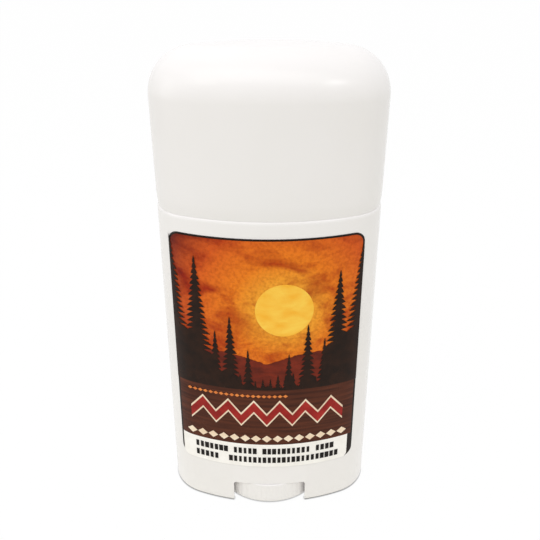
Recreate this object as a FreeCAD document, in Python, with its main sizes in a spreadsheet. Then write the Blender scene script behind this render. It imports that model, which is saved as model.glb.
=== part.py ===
import FreeCAD, Part
import Sketcher
import math
import os

# Oval twist-up deodorant stick. Millimetres, origin at the bottom centre, +Z up,
# the label faces -Y. Every horizontal outline is one oval of four tangent arcs,
# drawn inset (or, for the label, outset) by the walls and clearances below.

SIZES = (
    # the oval
    ("half_width", 28.5, "half the barrel's width"),
    ("half_depth", 15.75, "half the barrel's depth"),
    ("end_radius", 12.5, "radius of the two narrow ends"),
    # barrel
    ("shoulder_height", 87.6, "where the cap meets the barrel"),
    ("neck_height", 16.0, "neck above the shoulder"),
    ("neck_wall", 1.1, "wall of the neck"),
    ("skirt_wall", 1.4, "wall of the skirt round the knob"),
    ("knob_space", 7.2, "height of the hollow under the floor"),
    ("floor_thickness", 1.6, "floor that closes the barrel"),
    ("notch_width", 20.5, "finger notch, front and back"),
    ("notch_height", 7.0, "top of the finger notch"),
    ("notch_corner", 0.8, "rounded corner of the notch"),
    ("shoulder_round", 0.6, "rounded edge that shows as the seam"),
    ("base_round", 0.5, "rounded bottom edge"),
    # cap
    ("cap_wall", 1.15, "wall of the cap at its mouth"),
    ("cap_clearance", 0.2, "gap between cap and neck"),
    ("cap_height", 38.4, "cap from its mouth to its crown"),
    ("cap_flare", 0.4, "how far the cap widens to its top"),
    ("cap_ceiling", 1.8, "thickness of the cap's top"),
    ("cap_round", 11.2, "round of the cap's top edge"),
    ("crown_radius", 230.0, "radius of the crown across the width"),
    # knob
    ("knob_radius", 16.2, "hand wheel, a little proud of the front"),
    ("knob_lift", 0.3, "gap under the knob"),
    ("knob_height", 6.2, "height of the knob"),
    ("knob_rim", 1.7, "wall of the knob's rim"),
    ("knob_web", 1.4, "closed underside of the knob"),
    ("knob_hub_radius", 5.6, "hub round the drive"),
    ("knob_rib", 1.0, "thickness of the ribs inside"),
    ("knob_rib_count", 6, "ribs inside"),
    ("knob_edge_round", 0.5, "rounded lower edge of the knob"),
    ("grip_count", 72, "grip flutes round the rim"),
    ("grip_radius", 0.6, "radius of a grip flute"),
    ("grip_depth", 0.35, "depth of a grip flute"),
    # feed screw
    ("drive_width", 5.0, "square drive in the knob"),
    ("drive_clearance", 0.04, "gap round the square drive"),
    ("drive_web", 1.0, "knob material left under the drive"),
    ("journal_radius", 3.6, "shank that turns in the floor"),
    ("running_clearance", 0.06, "gap of the shank and of the thread"),
    ("flange_radius", 7.0, "seal flange on the floor"),
    ("flange_thickness", 1.2, "seal flange on the floor"),
    ("thread_radius", 3.2, "outside of the feed thread"),
    ("screw_drop", 9.6, "top of the feed screw below the neck's rim"),
    ("screw_tip", 1.0, "chamfer at the tip"),
    # elevator
    ("bore_clearance", 0.3, "gap between what slides and the bore"),
    ("elevator_gap", 0.4, "gap over the seal flange"),
    ("elevator_plate", 1.5, "plate of the elevator"),
    ("elevator_rim", 1.0, "wall of the elevator's rim"),
    ("elevator_rim_height", 6.0, "rim above the underside"),
    ("nut_radius", 5.4, "nut in the middle of the elevator"),
    ("nut_height", 10.0, "length of the nut"),
    ("web_thickness", 1.0, "webs that hold the product"),
    ("web_height", 4.5, "webs above the underside"),
    # product
    ("stick_dome", 10.2, "product above the neck's rim"),
    ("stick_round", 8.5, "round of the product's top"),
    ("channel_clearance", 0.6, "gap between product and screw"),
    # inner seal
    ("seal_wall", 0.7, "wall of the inner seal"),
    ("seal_gap", 0.05, "gap between product and seal"),
    ("seal_flange", 0.8, "flange on the neck's rim"),
    ("tab_width", 9.0, "pull tab"),
    ("tab_thickness", 1.2, "pull tab"),
    ("tab_height", 3.6, "pull tab above the seal"),
    # label
    ("label_bottom", 13.6, "lower edge of the label"),
    ("label_height", 69.8, "height of the label"),
    ("label_half_width", 24.3, "half the label's chord"),
    ("label_shift", -0.7, "how far off centre the label sits"),
    ("label_corner", 2.8, "rounded corner of the label"),
    ("label_film", 0.12, "thickness of the film"),
    ("ink", 0.04, "thickness of one printed layer"),
    ("ink_gap", 0.04, "gap under each printed layer"),
    ("border", 0.9, "dark border over and beside the print"),
    ("footer_height", 7.9, "white strip at the label's foot"),
    ("panel_height", 18.5, "brown panel over the strip"),
    ("sun_radius", 7.4, "sun in the picture"),
    ("sun_height", 24.0, "sun's centre over the panel"),
    ("sun_offset", 4.5, "sun's centre off the label's middle"),
    ("hill_radius", 34.0, "radius of the nearer hills"),
    ("hill_height", 11.5, "top of the nearer hills over the panel"),
    ("pine_height", 38.0, "tallest pine"),
    ("pine_spread", 5.2, "half the width of the tallest pine"),
    ("band_drop", 7.8, "band's middle under the picture"),
    ("band_margin", 3.4, "bare panel at the band's ends"),
    ("band_height", 7.4, "height of the zigzag band"),
    ("band_stroke", 3.0, "thickness of the zigzag"),
    ("band_outline", 0.7, "pale edge round the zigzag"),
    ("lozenge_width", 2.8, "small lozenge under the band"),
    ("lozenge_height", 2.0, "small lozenge under the band"),
    ("lozenge_rise", 2.0, "lozenges' middle over the strip"),
    ("mark", 0.9, "height of a small mark on the strip"),
)


class Size:
    """A number with the expression that keeps it, so that a sketch starts where its cells put it."""

    def __init__(self, value, formula=None):
        self.value = float(value)
        self.formula = formula or repr(float(value))

    @staticmethod
    def of(number):
        return number if isinstance(number, Size) else Size(number)

    def __add__(self, other):
        other = Size.of(other)
        return Size(self.value + other.value, f"({self.formula} + {other.formula})")

    def __sub__(self, other):
        other = Size.of(other)
        return Size(self.value - other.value, f"({self.formula} - {other.formula})")

    def __mul__(self, other):
        other = Size.of(other)
        return Size(self.value * other.value, f"({self.formula} * {other.formula})")

    def __truediv__(self, other):
        other = Size.of(other)
        return Size(self.value / other.value, f"({self.formula} / {other.formula})")

    def __neg__(self):
        return Size(-self.value, f"(-{self.formula})")


class Sheet:
    """The driving dimensions, each in a cell of its own with an alias."""

    def __init__(self, document, rows):
        self.cells = document.addObject("Spreadsheet::Sheet", "Sizes")
        for row, (alias, value, note) in enumerate(rows, start=1):
            self.cells.set(f"A{row}", note)
            self.cells.set(f"B{row}", str(value))
            self.cells.setAlias(f"B{row}", alias)
        document.recompute()

    def __getattr__(self, alias):
        return Size(getattr(self.cells, alias), f"Sizes.{alias}")


doc = FreeCAD.newDocument("DeodorantStick")
size = Sheet(doc, SIZES)

# sizes that follow from the driving ones
end_centre = size.half_width - size.end_radius
flank_rise = size.half_depth - size.end_radius
flank_centre = (end_centre * end_centre - flank_rise * flank_rise) / (Size(2) * flank_rise)
neck_inset = size.cap_wall + size.cap_clearance
bore_inset = neck_inset + size.neck_wall
slider_inset = bore_inset + size.bore_clearance
floor_top = size.knob_space + size.floor_thickness
neck_top = size.shoulder_height + size.neck_height
screw_top = neck_top - size.screw_drop
stick_top = neck_top + size.stick_dome
flange_top = floor_top + size.flange_thickness
elevator_bottom = flange_top + size.elevator_gap
plate_top = elevator_bottom + size.elevator_plate
knob_top = size.knob_lift + size.knob_height
drive_bottom = size.knob_lift + size.drive_web
cap_top = size.shoulder_height + size.cap_height
label_top = size.label_bottom + size.label_height


def numbers(*sizes):
    return [item.value for item in sizes]


UPRIGHT = FreeCAD.Vector(0, 0, 1)


def arc_of(x, y, radius, start, stop):
    circle = Part.Circle(FreeCAD.Vector(x, y, 0), UPRIGHT, radius)
    return Part.ArcOfCircle(circle, start, stop)


class Outline:
    """Shapes and constraints gathered for one sketch, so that it is solved only once."""

    def __init__(self):
        self.shapes = []
        self.rules = []
        self.formulas = {}

    def shape(self, geometry):
        self.shapes.append(geometry)
        return len(self.shapes) - 1

    def line(self, start, stop):
        return self.shape(Part.LineSegment(FreeCAD.Vector(*start, 0), FreeCAD.Vector(*stop, 0)))

    def rule(self, kind, *references):
        self.rules.append(Sketcher.Constraint(kind, *references))

    def dimension(self, kind, *references, to):
        """A dimension that its expression keeps."""
        self.formulas[len(self.rules)] = to.formula
        self.rules.append(Sketcher.Constraint(kind, *references, to.value))

    def place(self, shape, point, x, y):
        """Fix a point of a shape at a place measured from the origin."""
        self.dimension("DistanceX", -1, 1, shape, point, to=x)
        self.dimension("DistanceY", -1, 1, shape, point, to=y)

    def chain(self, kind, shapes):
        """Join the end of each shape to the start of the next, and the last to the first."""
        for one, other in zip(shapes, shapes[1:] + shapes[:1]):
            self.rule(kind, one, 2, other, 1)

    def oval(self, inset):
        """The oval, inset by so much: right end, back flank, left end, front flank."""
        centre, rise, end = numbers(end_centre, flank_centre, size.end_radius - inset)
        turn = math.atan2(rise, centre)
        flank = math.hypot(centre, rise) + end
        right = self.shape(arc_of(centre, 0, end, -turn, turn))
        back = self.shape(arc_of(0, -rise, flank, turn, math.pi - turn))
        left = self.shape(arc_of(-centre, 0, end, math.pi - turn, math.pi + turn))
        front = self.shape(arc_of(0, rise, flank, math.pi + turn, 2 * math.pi - turn))
        self.chain("Tangent", [right, back, left, front])
        self.rule("PointOnObject", right, 3, -1)
        self.rule("PointOnObject", left, 3, -1)
        self.rule("PointOnObject", front, 3, -2)
        self.rule("Equal", right, left)
        self.rule("Equal", front, back)
        self.dimension("Radius", right, to=size.end_radius - inset)
        self.dimension("DistanceX", -1, 1, right, 3, to=end_centre)
        self.dimension("DistanceY", -1, 1, front, 3, to=flank_centre)
        return self

    def circle(self, radius, x=None, y=None):
        """A circle, on the origin or at a place of its own."""
        middle = FreeCAD.Vector(x.value if x else 0, y.value if y else 0, 0)
        circle = self.shape(Part.Circle(middle, UPRIGHT, radius.value))
        self.dimension("Radius", circle, to=radius)
        if x is None:
            self.rule("Coincident", circle, 3, -1, 1)
        else:
            self.place(circle, 3, x, y)
        return self

    def polygon(self, points):
        """Straight sides through points given as pairs of sizes."""
        corners = [numbers(x, y) for x, y in points]
        sides = [self.line(start, stop) for start, stop in zip(corners, corners[1:] + corners[:1])]
        self.chain("Coincident", sides)
        for side, (x, y) in zip(sides, points):
            self.place(side, 1, x, y)
        return self

    def rectangle(self, left, right, bottom, top):
        x0, x1, y0, y1 = numbers(left, right, bottom, top)
        sides = [
            self.line((x0, y0), (x1, y0)),
            self.line((x1, y0), (x1, y1)),
            self.line((x1, y1), (x0, y1)),
            self.line((x0, y1), (x0, y0)),
        ]
        self.chain("Coincident", sides)
        self.square_up(sides, left, right, bottom, top)
        return self

    def rounded_rectangle(self, left, right, bottom, top, corner):
        x0, x1, y0, y1, r = numbers(left, right, bottom, top, corner)
        quarter = math.pi / 2
        sides = [
            self.line((x0 + r, y0), (x1 - r, y0)),
            self.line((x1, y0 + r), (x1, y1 - r)),
            self.line((x1 - r, y1), (x0 + r, y1)),
            self.line((x0, y1 - r), (x0, y0 + r)),
        ]
        centres = ((x1 - r, y0 + r), (x1 - r, y1 - r), (x0 + r, y1 - r), (x0 + r, y0 + r))
        corners = [
            self.shape(arc_of(*centre, r, (n - 1) * quarter, n * quarter))
            for n, centre in enumerate(centres)
        ]
        self.chain("Tangent", [shape for pair in zip(sides, corners) for shape in pair])
        self.square_up(sides, left, right, bottom, top)
        for other in corners[1:]:
            self.rule("Equal", corners[0], other)
        self.dimension("Radius", corners[0], to=corner)
        return self

    def square_up(self, sides, left, right, bottom, top):
        """Hold four sides level or upright, each at its own distance from the origin."""
        for number, side in enumerate(sides):
            self.rule("Vertical" if number % 2 else "Horizontal", side)
        self.dimension("DistanceY", -1, 1, sides[0], 1, to=bottom)
        self.dimension("DistanceX", -1, 1, sides[1], 1, to=right)
        self.dimension("DistanceY", -1, 1, sides[2], 1, to=top)
        self.dimension("DistanceX", -1, 1, sides[3], 1, to=left)

    def draw_on(self, sketch):
        sketch.addGeometry(self.shapes, False)
        sketch.addConstraint(self.rules)
        for number, formula in self.formulas.items():
            sketch.setExpression(f"Constraints[{number}]", formula)
        return sketch


def new_body(label):
    body = doc.addObject("PartDesign::Body", label)
    body.Label = label
    return body


def sketch_on(body, name, role="XY_Plane", height=None):
    """A sketch on one of the body's own planes, raised to a height where one is given."""
    sketch = body.newObject("Sketcher::SketchObject", name)
    plane = next(item for item in body.Origin.OriginFeatures if item.Role == role)
    sketch.AttachmentSupport = (plane, [""])
    sketch.MapMode = "FlatFace"
    if height is not None:
        sketch.AttachmentOffset = FreeCAD.Placement(
            FreeCAD.Vector(0, 0, height.value), FreeCAD.Rotation())
        sketch.setExpression("AttachmentOffset.Base.z", height.formula)
    return sketch


def extrude(body, kind, name, sketch, length, both_ways=False, backwards=False):
    """A Pad or a Pocket of a sketch, which has to change the body's volume."""
    before = body.Shape.Volume if body.Shape.Solids else 0.0
    feature = body.newObject(f"PartDesign::{kind}", name)
    feature.Profile = sketch
    feature.setExpression("Length", length.formula)
    feature.SideType = "Symmetric" if both_ways else "One side"
    feature.Reversed = backwards
    doc.recompute()
    change = feature.Shape.Volume - before
    if (change < 1e-6) if kind == "Pad" else (change > -1e-6):
        raise RuntimeError(f"{body.Label}: {name} changes nothing")
    return feature


def pad(body, name, sketch, length, **options):
    return extrude(body, "Pad", name, sketch, length, **options)


def pocket(body, name, sketch, length, **options):
    return extrude(body, "Pocket", name, sketch, length, **options)


def pad_between(body, name, outline, bottom, top):
    """Fill an outline from one height to another."""
    sketch = outline.draw_on(sketch_on(body, f"{name}Outline", height=bottom))
    return pad(body, name, sketch, top - bottom)


def bore_between(body, name, outline, bottom, top):
    """Empty an outline from one height to another."""
    sketch = outline.draw_on(sketch_on(body, f"{name}Outline", height=bottom))
    return pocket(body, name, sketch, top - bottom, backwards=True)


def oval(inset=Size(0)):
    return Outline().oval(inset)


def circle(radius, x=None, y=None):
    return Outline().circle(radius, x, y)


def centred_rectangle(half_across, half_along):
    return Outline().rectangle(-half_across, half_across, -half_along, half_along)


def around(body, name, feature, count):
    """Copies of a feature round the Z axis."""
    pattern = body.newObject("PartDesign::PolarPattern", name)
    axis = next(item for item in body.Origin.OriginFeatures if item.Role == "Z_Axis")
    pattern.Originals = [feature]
    pattern.Axis = (axis, [""])
    pattern.Angle = 360
    pattern.setExpression("Occurrences", count.formula)
    body.Tip = pattern
    doc.recompute()
    return pattern


def dress_edges(body, kind, name, measure, amount, chosen):
    """A Fillet or a Chamfer on the edges of the body for which chosen(bounds) holds."""
    base = body.Tip
    names = [
        f"Edge{number}" for number, edge in enumerate(base.Shape.Edges, start=1)
        if chosen(edge.BoundBox)
    ]
    feature = body.newObject(f"PartDesign::{kind}", name)
    feature.Base = (base, names)
    feature.setExpression(measure, amount.formula)
    doc.recompute()
    if not names or not feature.isValid():
        raise RuntimeError(f"{body.Label}: {name} fails")
    return feature


def round_edges(body, name, radius, chosen):
    return dress_edges(body, "Fillet", name, "Radius", radius, chosen)


def bevel_edges(body, name, width, chosen):
    return dress_edges(body, "Chamfer", name, "Size", width, chosen)


def level_at(height):
    """A test for edges that lie flat at a height."""
    return lambda box: abs(box.ZMin - height.value) < 1e-4 and abs(box.ZMax - height.value) < 1e-4


def rounded_core(label, inset, bottom, top, radius):
    """The space inside a domed shell."""
    core = new_body(label)
    pad_between(core, "Core", oval(inset), bottom, top)
    round_edges(core, "CoreRound", radius, level_at(top))
    return core


def hollowed(label, shell, core):
    """A shell with its core taken out."""
    cut = doc.addObject("Part::Cut", label)
    cut.Base = shell
    cut.Tool = core
    cut.Label = label
    doc.recompute()
    return cut


# Barrel: outer skin, neck, floor and the skirt round the knob, moulded in one piece

def make_barrel():
    body = new_body("barrel")
    pad_between(body, "Skin", oval(), Size(0), size.shoulder_height)
    round_edges(body, "BaseRound", size.base_round, level_at(Size(0)))
    round_edges(body, "ShoulderRound", size.shoulder_round, level_at(size.shoulder_height))
    pad_between(body, "Neck", oval(neck_inset), size.shoulder_height, neck_top)
    bore_between(body, "Bore", oval(bore_inset), floor_top, neck_top)
    bore_between(body, "KnobSpace", oval(size.skirt_wall), Size(0), size.knob_space)
    bore_between(body, "ScrewHole", circle(size.journal_radius + size.running_clearance),
                 size.knob_space, floor_top)
    half = size.notch_width / 2
    notch = Outline().rounded_rectangle(
        -half, half, -size.notch_height, size.notch_height, size.notch_corner)
    pocket(body, "Notch", notch.draw_on(sketch_on(body, "NotchOutline", "XZ_Plane")),
           size.half_depth * 4, both_ways=True)
    return body


# Knob: hand wheel with a closed underside, grip flutes and a square socket

def make_knob():
    body = new_body("knob")
    web_top = size.knob_lift + size.knob_web
    rim_inside = size.knob_radius - size.knob_rim
    pad_between(body, "Wheel", circle(size.knob_radius), size.knob_lift, knob_top)
    round_edges(body, "LowerEdge", size.knob_edge_round, level_at(size.knob_lift))
    hollow = circle(rim_inside).circle(size.knob_hub_radius)
    bore_between(body, "Hollow", hollow, web_top, knob_top)
    half = size.knob_rib / 2
    rib = Outline().rectangle(size.knob_hub_radius - half, rim_inside + half, -half, half)
    first_rib = pad_between(body, "Rib", rib, web_top - size.knob_web / 2, knob_top - size.knob_rib)
    around(body, "Ribs", first_rib, size.knob_rib_count)
    side = size.drive_width / 2 + size.drive_clearance
    bore_between(body, "Socket", centred_rectangle(side, side), drive_bottom, knob_top)
    flute = circle(size.grip_radius, size.knob_radius + size.grip_radius - size.grip_depth, Size(0))
    first_flute = bore_between(body, "Flute", flute, Size(0), knob_top + size.knob_lift)
    around(body, "Flutes", first_flute, size.grip_count)
    return body


# Feed screw: square drive, shank, seal flange and the threaded stem at its outside size

def make_spindle():
    body = new_body("spindle")
    half = size.drive_width / 2
    pad_between(body, "Drive", centred_rectangle(half, half), drive_bottom, knob_top)
    pad_between(body, "Shank", circle(size.journal_radius), knob_top, floor_top)
    pad_between(body, "Flange", circle(size.flange_radius), floor_top, flange_top)
    pad_between(body, "Stem", circle(size.thread_radius), flange_top, screw_top)
    bevel_edges(body, "Tip", size.screw_tip, level_at(screw_top))
    return body


# Elevator: the oval carrier that climbs the screw under the product

def make_elevator():
    body = new_body("elevator")
    rim_top = elevator_bottom + size.elevator_rim_height
    nut_top = elevator_bottom + size.nut_height
    web_top = elevator_bottom + size.web_height
    pad_between(body, "Cup", oval(slider_inset), elevator_bottom, rim_top)
    bore_between(body, "CupHollow", oval(slider_inset + size.elevator_rim), plate_top, rim_top)
    pad_between(body, "Nut", circle(size.nut_radius), elevator_bottom, nut_top)
    half = size.web_thickness / 2
    rim_middle = slider_inset + size.elevator_rim / 2
    long_web = centred_rectangle(size.half_width - rim_middle, half)
    cross_web = centred_rectangle(half, size.half_depth - rim_middle)
    pad_between(body, "LongWeb", long_web, elevator_bottom, web_top)
    pad_between(body, "CrossWeb", cross_web, elevator_bottom, web_top)
    bore_between(body, "NutBore", circle(size.thread_radius + size.running_clearance),
                 elevator_bottom, nut_top)
    return body


# Product: cast over the elevator, with a channel for the screw

def make_stick(elevator):
    block = new_body("stick_block")
    pad_between(block, "Block", oval(slider_inset), plate_top, stick_top)
    round_edges(block, "Top", size.stick_round, level_at(stick_top))
    bore_between(block, "Channel", circle(size.thread_radius + size.channel_clearance),
                 plate_top, screw_top + size.channel_clearance)
    return hollowed("stick", block, elevator)


# Inner seal: thin moulded cover over a new product, resting on the neck

def make_inner_seal():
    shell = new_body("inner_seal_shell")
    inner = slider_inset - size.seal_gap
    inside_top = stick_top + size.seal_gap
    outside_top = inside_top + size.seal_wall
    inside_round = size.stick_round + size.seal_gap
    pad_between(shell, "Flange", oval(neck_inset), neck_top, neck_top + size.seal_flange)
    pad_between(shell, "Dome", oval(inner - size.seal_wall), neck_top, outside_top)
    round_edges(shell, "DomeRound", inside_round + size.seal_wall, level_at(outside_top))
    tab = centred_rectangle(size.tab_width / 2, size.tab_thickness / 2)
    pad_between(shell, "Tab", tab, inside_top, outside_top + size.tab_height)
    core = rounded_core("inner_seal_core", inner, neck_top, inside_top, inside_round)
    return hollowed("inner_seal", shell, core)


# Cap: flared shell with a softly crowned top

def make_cap():
    body = new_body("cap_shell")
    mouth = oval().draw_on(sketch_on(body, "MouthOutline", height=size.shoulder_height))
    top = oval(-size.cap_flare).draw_on(sketch_on(body, "TopOutline", height=cap_top))
    loft = body.newObject("PartDesign::AdditiveLoft", "Shell")
    loft.Profile = mouth
    loft.Sections = [top]
    doc.recompute()
    crown = crown_outline().draw_on(sketch_on(body, "CrownOutline", "XZ_Plane"))
    pocket(body, "Crown", crown, size.half_depth * 4, both_ways=True)
    shoulder = cap_top - size.cap_round / 2
    round_edges(body, "TopRound", size.cap_round, lambda box: box.ZMin > shoulder.value)
    core = rounded_core("cap_core", size.cap_wall, size.shoulder_height,
                        cap_top - size.cap_ceiling, size.cap_round - size.cap_wall)
    return hollowed("cap", body, core)


def crown_outline():
    """What lies over the crown's arc, from end to end and well above the cap."""
    reach = size.half_width + size.cap_round
    over = cap_top + size.cap_round
    centre = cap_top - size.crown_radius
    radius, middle, side, high = numbers(size.crown_radius, centre, reach, over)
    turn = math.asin(side / radius)
    edge = middle + radius * math.cos(turn)
    outline = Outline()
    arc = outline.shape(arc_of(0, middle, radius, math.pi / 2 - turn, math.pi / 2 + turn))
    left = outline.line((-side, edge), (-side, high))
    ceiling = outline.line((-side, high), (side, high))
    right = outline.line((side, high), (side, edge))
    outline.chain("Coincident", [arc, left, ceiling, right])
    outline.rule("Vertical", left)
    outline.rule("Vertical", right)
    outline.rule("PointOnObject", arc, 3, -2)
    outline.dimension("Radius", arc, to=size.crown_radius)
    outline.dimension("DistanceY", -1, 1, arc, 3, to=centre)
    outline.place(ceiling, 1, -reach, over)
    outline.place(ceiling, 2, reach, over)
    return outline


# Label: a film on the front with its print as thin fields of colour

label_left = size.label_shift - size.label_half_width
label_right = size.label_shift + size.label_half_width
print_left = label_left + size.border
print_right = label_right - size.border
print_top = label_top - size.border
panel_bottom = size.label_bottom + size.footer_height
picture_bottom = panel_bottom + size.panel_height
band_middle = picture_bottom - size.band_drop
band_half_length = size.label_half_width - size.band_margin

# where the pines stand, as shares of the label's half width, and how tall each is
PINE_SHARES = ((-0.74, 1.0), (-0.39, 0.58), (-0.20, 0.33), (0.24, 0.30), (0.44, 0.52), (0.76, 0.90))
# a pine's edge from the foot up: share of its height, share of its spread
PINE_EDGE_SHARES = (
    (0.0, 0.14),
    (0.12, 0.14),
    (0.12, 1.0),
    (0.42, 0.40),
    (0.38, 0.76),
    (0.70, 0.26),
    (0.66, 0.50),
)
# the two hills' summits, as shares of the print's half width
SUMMIT_SHARES = (-0.62, 0.62)
BAND_WAVES = 6
LOZENGES = 13
# rows of marks on the strip, as shares of its height, and the marks' half lengths over their height
MARK_ROWS = (0.7, 0.3)
MARK_LENGTHS = (0.45, 0.9, 0.9)
MARKS_IN_ROW = 14


def sleeve(number):
    """A thin oval sleeve round the barrel: 0 is the film, and each layer of ink lies on the last."""
    outer = size.label_film + (size.ink_gap + size.ink) * number
    inner = outer - (size.ink if number else size.label_film)
    sketch = doc.addObject("Sketcher::SketchObject", f"Sleeve{number}Outline")
    sketch.setExpression("Placement.Base.z", size.label_bottom.formula)
    Outline().oval(-outer).oval(-inner).draw_on(sketch)
    return extrusion(f"Sleeve{number}", sketch, size.label_height)


def extrusion(name, sketch, length):
    block = doc.addObject("Part::Extrusion", name)
    block.Base = sketch
    block.DirMode = "Normal"
    block.Solid = True
    block.setExpression("LengthFwd", length.formula)
    return block


def printed(name, outline, layer):
    """What lies of a layer in front of a flat outline, X across and Y up."""
    sketch = doc.addObject("Sketcher::SketchObject", f"{name}_outline")
    sketch.Placement.Rotation = FreeCAD.Rotation(FreeCAD.Vector(1, 0, 0), 90)
    outline.draw_on(sketch)
    field = doc.addObject("Part::Common", name)
    field.Base = layer
    field.Tool = extrusion(f"{name}_block", sketch, size.half_depth * 2)
    field.Label = name
    doc.recompute()
    return field


def pine_corners(x, foot, height, spread):
    """One pine as a silhouette: a short trunk and three tiers of branches."""
    right = [(x + spread * wide, foot + height * high) for high, wide in PINE_EDGE_SHARES]
    left = [(x * 2 - across, up) for across, up in reversed(right)]
    return right + [(x, foot + height)] + left


def zigzag_corners(half_stroke):
    """The zigzag band across the panel, thick by twice half_stroke measured upright."""
    rise = (size.band_height - size.band_stroke) / 2
    steps = 2 * BAND_WAVES
    upper, lower = [], []
    for step in range(steps + 1):
        x = along_band(step, steps + 1)
        middle = band_middle + (rise if step % 2 else -rise)
        upper.append((x, middle + half_stroke))
        lower.append((x, middle - half_stroke))
    return lower + upper[::-1]


def lozenge_corners(x, y):
    wide, high = size.lozenge_width / 2, size.lozenge_height / 2
    return [(x - wide, y), (x, y - high), (x + wide, y), (x, y + high)]


def along_band(number, count):
    """Where the item of that number stands, of a count spread evenly along the band."""
    return size.label_shift + band_half_length * (2 * number / (count - 1) - 1)


def hills_outline():
    """Two low hills, each an arc, on the panel's upper edge."""
    half = size.label_half_width - size.border
    left, middle, right = size.label_shift - half, size.label_shift, size.label_shift + half
    summits = [middle + half * share for share in SUMMIT_SHARES]
    centre = picture_bottom + size.hill_height - size.hill_radius
    x0, x1, x2, foot, rise, radius = numbers(
        left, middle, right, picture_bottom, centre, size.hill_radius)
    outline = Outline()

    def hill(summit, start, stop):
        turns = [math.acos((x - summit.value) / radius) for x in (start, stop)]
        return outline.shape(arc_of(summit.value, rise, radius, *turns))

    def height_at(x, summit):
        return rise + math.sqrt(radius ** 2 - (x - summit.value) ** 2)

    east = hill(summits[1], x2, x1)
    west = hill(summits[0], x1, x0)
    down = outline.line((x0, height_at(x0, summits[0])), (x0, foot))
    base = outline.line((x0, foot), (x2, foot))
    rising = outline.line((x2, foot), (x2, height_at(x2, summits[1])))
    outline.chain("Coincident", [east, west, down, base, rising])
    outline.rule("Equal", east, west)
    outline.rule("Vertical", down)
    outline.rule("Vertical", rising)
    outline.dimension("Radius", east, to=size.hill_radius)
    outline.place(east, 3, summits[1], centre)
    outline.place(west, 3, summits[0], centre)
    outline.place(base, 1, left, picture_bottom)
    outline.place(base, 2, right, picture_bottom)
    return outline


def make_label():
    """The film and its print, each field of colour on the layer that it needs."""
    sleeves = [sleeve(number) for number in range(4)]
    corner = size.label_corner - size.border
    fields = []

    def add(name, layer, outline):
        fields.append(printed(name, outline, sleeves[layer]))

    add("label", 0, Outline().rounded_rectangle(
        label_left, label_right, size.label_bottom, label_top, size.label_corner))
    add("label_sky", 1, Outline().rounded_rectangle(
        print_left, print_right, picture_bottom, print_top, corner))
    add("label_panel", 1, Outline().rectangle(
        print_left, print_right, panel_bottom, picture_bottom))
    add("label_footer", 1, Outline().rounded_rectangle(
        print_left, print_right, size.label_bottom, panel_bottom, corner))
    add("label_sun", 2, circle(
        size.sun_radius, size.label_shift + size.sun_offset, picture_bottom + size.sun_height))
    add("label_hills", 2, hills_outline())

    pines = Outline()
    for place, share in PINE_SHARES:
        pines.polygon(pine_corners(size.label_shift + size.label_half_width * place,
                                   picture_bottom, size.pine_height * share,
                                   size.pine_spread * share))
    add("label_pines", 3, pines)

    edging = Outline().polygon(zigzag_corners(size.band_stroke / 2 + size.band_outline))
    for number in range(LOZENGES):
        edging.polygon(lozenge_corners(along_band(number, LOZENGES),
                                       panel_bottom + size.lozenge_rise))
    add("label_edging", 2, edging)
    add("label_band", 3, Outline().polygon(zigzag_corners(size.band_stroke / 2)))

    marks = Outline()
    for row, share in enumerate(MARK_ROWS):
        middle = size.label_bottom + size.footer_height * share
        for number in range(MARKS_IN_ROW):
            across = along_band(number, MARKS_IN_ROW)
            half = size.mark * MARK_LENGTHS[(number + row) % len(MARK_LENGTHS)]
            marks.rectangle(across - half, across + half,
                            middle - size.mark / 2, middle + size.mark / 2)
    add("label_marks", 2, marks)
    return fields


elevator = make_elevator()
pieces = [
    make_barrel(),
    make_knob(),
    make_spindle(),
    elevator,
    make_stick(elevator),
    make_inner_seal(),
    make_cap(),
]
pieces += make_label()

doc.recompute()
for item in doc.Objects:
    if {"Invalid", "Error"} & set(item.State):
        raise RuntimeError(f"{item.Label} failed: {item.State}")
for piece in pieces:
    if piece.Shape.isNull() or not piece.Shape.isValid() or not piece.Shape.Solids:
        raise RuntimeError(f"{piece.Label} has no valid solid")

os.makedirs("parts", exist_ok=True)
for piece in pieces:
    piece.Shape.exportStep(f"parts/{piece.Label}.step")
    print(piece.Label, len(piece.Shape.Solids), round(piece.Shape.Volume, 1))
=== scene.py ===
"""An oval twist-up deodorant stick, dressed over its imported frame.

Sizes are in millimetres, with the origin at the middle of the base, +Z up and the
label facing -Y. A finished mesh is brought to metres when its piece is made.
"""

import logging
import math
import random
from dataclasses import dataclass, field
from enum import Enum
from typing import Callable, Sequence

import bmesh
import bpy
import numpy as np
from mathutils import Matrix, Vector
from mathutils.geometry import delaunay_2d_cdt


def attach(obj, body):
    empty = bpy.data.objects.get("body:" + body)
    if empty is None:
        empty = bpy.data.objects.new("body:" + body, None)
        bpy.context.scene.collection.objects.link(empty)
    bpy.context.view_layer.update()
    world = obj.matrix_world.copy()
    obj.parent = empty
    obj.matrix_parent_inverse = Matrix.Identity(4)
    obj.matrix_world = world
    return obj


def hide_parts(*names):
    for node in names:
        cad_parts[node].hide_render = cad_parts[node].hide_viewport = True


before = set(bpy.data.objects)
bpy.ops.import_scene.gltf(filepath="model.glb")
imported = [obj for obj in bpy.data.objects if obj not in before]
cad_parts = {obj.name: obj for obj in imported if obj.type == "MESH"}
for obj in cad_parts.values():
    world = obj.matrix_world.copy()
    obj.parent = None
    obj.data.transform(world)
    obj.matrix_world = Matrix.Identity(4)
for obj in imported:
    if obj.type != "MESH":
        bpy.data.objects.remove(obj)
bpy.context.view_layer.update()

log = logging.getLogger("deodorant_stick")

MM = 0.001
SMOOTH_BELOW = math.radians(32)
BREAK_ABOVE = math.radians(50)
Colour = tuple[float, float, float]
Point = tuple[float, float]
Outline = list[Point]


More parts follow.
